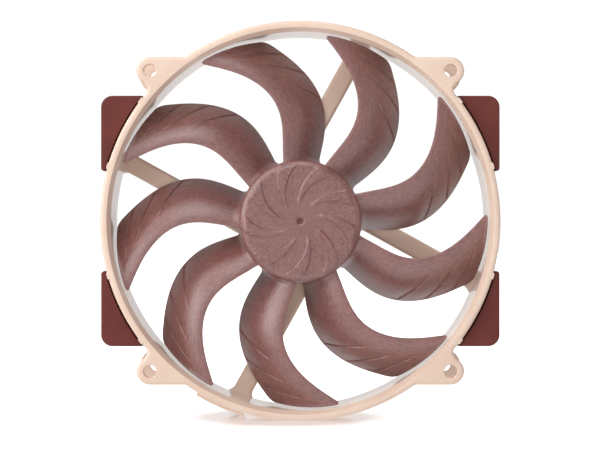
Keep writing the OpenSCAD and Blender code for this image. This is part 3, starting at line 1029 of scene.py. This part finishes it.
def stacked_laminations():
    """Edges of thin steel sheets, stacked along the fan's axis."""
    look = Surface("stator_laminations", metallic=0.85)
    height = look.node("SeparateXYZ", {0: look.place()}).outputs["Y"]
    sheets = look.math("PINGPONG", height, 0.25)
    wear = look.noise(look.place(), 0.6, 4)
    base = look.blend(look.span(wear, 0.4, 0.6), colour(128, 130, 134), colour(158, 160, 163))
    look.paint(look.blend(look.span(sheets, 0.0, 0.06, 0.8, 0), base, colour(60, 58, 58)))
    look.rough(wear, 0.35, 0.5)
    look.relief((look.span(sheets, 0.0, 0.08), 0.03))
    return look.material


def board_laminate():
    """Circuit board: green solder mask over copper tracks, with a woven glass core."""
    look = Surface("circuit_board_mask")
    tracks = look.node("TexBrick", {"Vector": look.place((1, 0, 1)), "Scale": 0.35, "Mortar Size": 0.09})
    weave = look.node("TexChecker", {"Vector": look.place((1, 0, 1)), "Scale": 2.4})
    tone = look.noise(look.place(), 0.5, 3)
    base = look.blend(look.span(tone, 0.35, 0.65), colour(18, 74, 46), colour(26, 92, 58))
    base = look.blend(look.math("MULTIPLY", weave.outputs["Fac"], 0.12), base, colour(48, 112, 74))
    look.paint(look.blend(look.math("MULTIPLY", tracks.outputs["Fac"], 0.55), base, colour(70, 128, 72)))
    look.rough(tone, 0.25, 0.35)
    look.relief((tracks.outputs["Fac"], 0.03))
    return look.material


def enamelled_wire():
    """Copper wire wound in rows, with darker gaps between turns."""
    look = Surface("winding_enamel", metallic=0.9, Coat_Weight=0.6, Coat_Roughness=0.15)
    tone = look.noise(look.place(), 0.7, 3)
    strands = look.noise(look.place((1, 0.2, 1)), 3, 2)
    base = look.blend(look.span(tone, 0.35, 0.65), colour(176, 92, 48), colour(206, 122, 70))
    look.paint(look.blend(look.span(strands, 0.55, 0.8, 0, 0.4), base, colour(120, 58, 32)))
    look.rough(tone, 0.22, 0.34)
    look.relief((strands, 0.01))
    return look.material


def floor_paint():
    """White floor with its own glow, which fades near the fan's foot: a painted shadow patch in the floor's
    own grey-pink colour, where the fan's real shadow shows as well.
    """
    look = Surface("floor_white_painted_shadow", ior=1.45, Emission_Color=(1, 1, 1, 1))
    tone = look.noise(look.place(), 0.01, 3)
    # The floor's grey-pink colour shows only where the glow fades, and gives the painted shadow its tone
    look.paint(look.blend(look.span(tone, 0.35, 0.65), colour(206, 197, 198), colour(210, 201, 202)))
    look.rough(tone, 0.14, 0.18)
    # Painted shadow: the glow fades within a fixed patch round the fan's foot
    middle = (SHADOW_U * SHADOW_STRETCH[0], -DEPTH / 2, 0)
    away = look.node("VectorMath", {0: look.place(SHADOW_STRETCH), 1: middle}, operation="DISTANCE")
    glow_with_painted_shadow = look.span(away.outputs["Value"], *SHADOW_FADE, SHADOW_GLOW, 1)
    look.tree.links.new(glow_with_painted_shadow, look.shader.inputs["Emission Strength"])
    return look.material


# How each pad is mirrored from the right upper quarter: across and up
PADS = (("pad_upper_left", -1, 1), ("pad_upper_right", 1, 1), ("pad_lower_left", -1, -1),
        ("pad_lower_right", 1, -1))

# Softened edges of the carried-over CAD nodes, in millimetres, where they differ from the usual
USUAL_EDGE = 0.12
NODE_EDGE = {"oil_seal": 0.05, "thrust_pad": 0.08, "retaining_ring": 0.04, "winding_pins": 0.05}


def make_materials():
    """One material per slot of the record, and one for the duct's glossy wall, a copy of the frame plastic
    whose lighter, greyer colour is a painted reflection of the white surroundings.
    """
    steel = colour(196, 198, 202)
    return {
        "frame": frame_plastic("frame_plastic", colour(229, 203, 185), colour(222, 194, 176), 0.38, 0.48),
        # Duct wall: truly glossier, and lighter and greyer in colour as a painted reflection of the white
        # surroundings
        "duct": frame_plastic("duct_plastic_painted_reflection", colour(232, 216, 203), colour(224, 206, 192), 0.1, 0.16),
        "impeller": impeller_plastic(),
        "side_pad": silicone(),
        "grommet": moulded("grommet_rubber", colour(98, 56, 50), colour(82, 44, 40), 0.5, 0.6),
        "label": label_foil(),
        "brass": turned_metal("brass_turned", colour(222, 184, 110), colour(186, 144, 78), 0.22, 0.34),
        "bronze": moulded("bronze_sintered", colour(168, 112, 66), colour(112, 70, 40), 0.4, 0.55, 0.15),
        "ivory_plastic": moulded("ivory_nylon", colour(232, 226, 208), colour(218, 210, 190), 0.4, 0.5),
        "black_rubber": moulded("black_rubber", colour(34, 34, 36), colour(22, 22, 24), 0.55, 0.7),
        "magnet": moulded("ferrite_magnet", colour(52, 50, 52), colour(36, 34, 36), 0.5, 0.65, 0.25),
        "lamination": stacked_laminations(),
        "steel": turned_metal("steel_pressed", steel, colour(164, 166, 170), 0.3, 0.42, 0.3),
        "polished_steel": turned_metal("steel_polished", colour(214, 216, 220), steel, 0.1, 0.18),
        "copper": enamelled_wire(),
        "board": board_laminate(),
        "chip": moulded("chip_epoxy", colour(40, 40, 42), colour(26, 26, 28), 0.45, 0.6, 0.2),
        "ceramic": moulded("capacitor_ceramic", colour(188, 164, 124), colour(160, 134, 96), 0.3, 0.42, 0.3),
    }


def dress(piece, material):
    piece.data.materials.clear()
    piece.data.materials.append(material)
    return piece


def dress_node(name, material, edge):
    """Gives a CAD node its material and softens its edges by edge millimetres."""
    node = frame["nodes"][name]
    for material_slot in node.material_slots:
        material_slot.link = "OBJECT"
        material_slot.material = material
    weld = node.modifiers.new("weld", "WELD")
    weld.merge_threshold = 1e-6
    bevel = node.modifiers.new("edges", "BEVEL")
    bevel.width = edge * MM
    bevel.segments = 2
    bevel.limit_method = "ANGLE"
    bevel.angle_limit = math.radians(40)
    bevel.harden_normals = True


# ---------------------------------------------------------------------------------------------
# Stage
# ---------------------------------------------------------------------------------------------

def add_floor(bm):
    low = -FLANGE_R - FLOOR_GAP
    corners = [(-1, -1), (1, -1), (1, 1), (-1, 1)]
    bm.faces.new([bm.verts.new((u * FLOOR_REACH, low, w * FLOOR_REACH)) for u, w in corners])


def make_floor():
    """Floor just below the fan, which neither lights nor shows in the fan."""
    floor = build_bench("floor", add_floor)
    floor.data.materials.append(floor_paint())
    floor.visible_diffuse = False
    floor.visible_glossy = False


def make_lights():
    """Square soft lights, turned to the fan's centre."""
    for number, (at, watts) in enumerate(LIGHTS, 1):
        name = "light_%d" % number
        data = bpy.data.lights.new(name, "AREA")
        data.size = LIGHT_SIZE
        data.energy = watts
        light = bpy.data.objects.new(name, data)
        light.location = place(*at)
        aim = place(0, 0, DEPTH / 2) - light.location
        light.rotation_euler = aim.to_track_quat("-Z", "Y").to_euler()
        bpy.context.scene.collection.objects.link(light)


def make_world():
    """White backdrop for the camera; the fan is lit by soft glows from a few sides."""
    world = bpy.data.worlds.new("studio")
    world.use_nodes = True
    tree = world.node_tree
    background = tree.nodes["Background"]
    way = add_node(tree, "TexCoord").outputs["Generated"]
    total = 0.0
    for towards, strength in GLOWS:
        facing = add_node(tree, "VectorMath", {0: way, 1: towards}, operation="DOT_PRODUCT")
        lit = add_node(tree, "Math", {0: facing.outputs["Value"], 1: 0.0}, operation="MAXIMUM")
        inputs = {0: lit.outputs[0], 1: strength, 2: total}
        total = add_node(tree, "Math", inputs, operation="MULTIPLY_ADD").outputs[0]
    seen = add_node(tree, "LightPath").outputs["Is Camera Ray"]
    mix = add_node(tree, "Mix", {0: seen, 2: total, 3: BACKDROP})
    tree.links.new(mix.outputs[0], background.inputs["Strength"])
    background.inputs["Color"].default_value = (1, 1, 1, 1)
    bpy.context.scene.world = world
    bpy.context.scene.view_settings.view_transform = "Standard"


# ---------------------------------------------------------------------------------------------
# Build
# ---------------------------------------------------------------------------------------------

def line_duct(housing, material):
    """Gives the faces of the duct's wall, which look towards the axis, a material of their own: a glossier
    copy of the frame plastic whose lighter, greyer colour is a painted reflection.
    """
    housing.data.materials.append(material)
    wall_r = DUCT_R + 0.05
    for face in housing.data.polygons:
        middle = face.center / MM
        inward = -Vector((middle.x, 0, middle.z)).normalized()
        if math.hypot(middle.x, middle.z) < wall_r and face.normal.dot(inward) > 0.95:
            face.material_index = 1


def main():
    make_camera()
    looks = make_materials()
    slots = {part["node"]: part["material_slot"] for part in frame["record"]["subparts"]}

    housing = dress(make_housing(), looks["frame"])
    line_duct(housing, looks["duct"])
    flat_faces_stay_flat(housing)
    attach(housing, "housing")
    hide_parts("frame")

    for name, across, up in PADS:
        pad = dress(make_pad(name, across, up), looks["side_pad"])
        flat_faces_stay_flat(pad)
        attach(pad, "housing")
        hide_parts(name)

    impeller = dress(make_impeller(), looks["impeller"])
    flat_faces_stay_flat(impeller)
    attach(impeller, "rotor")
    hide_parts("impeller")

    for name, slot in slots.items():
        if not frame["nodes"][name].hide_render:
            dress_node(name, looks[slot], NODE_EDGE.get(name, USUAL_EDGE))

    make_floor()
    make_lights()
    make_world()


main()
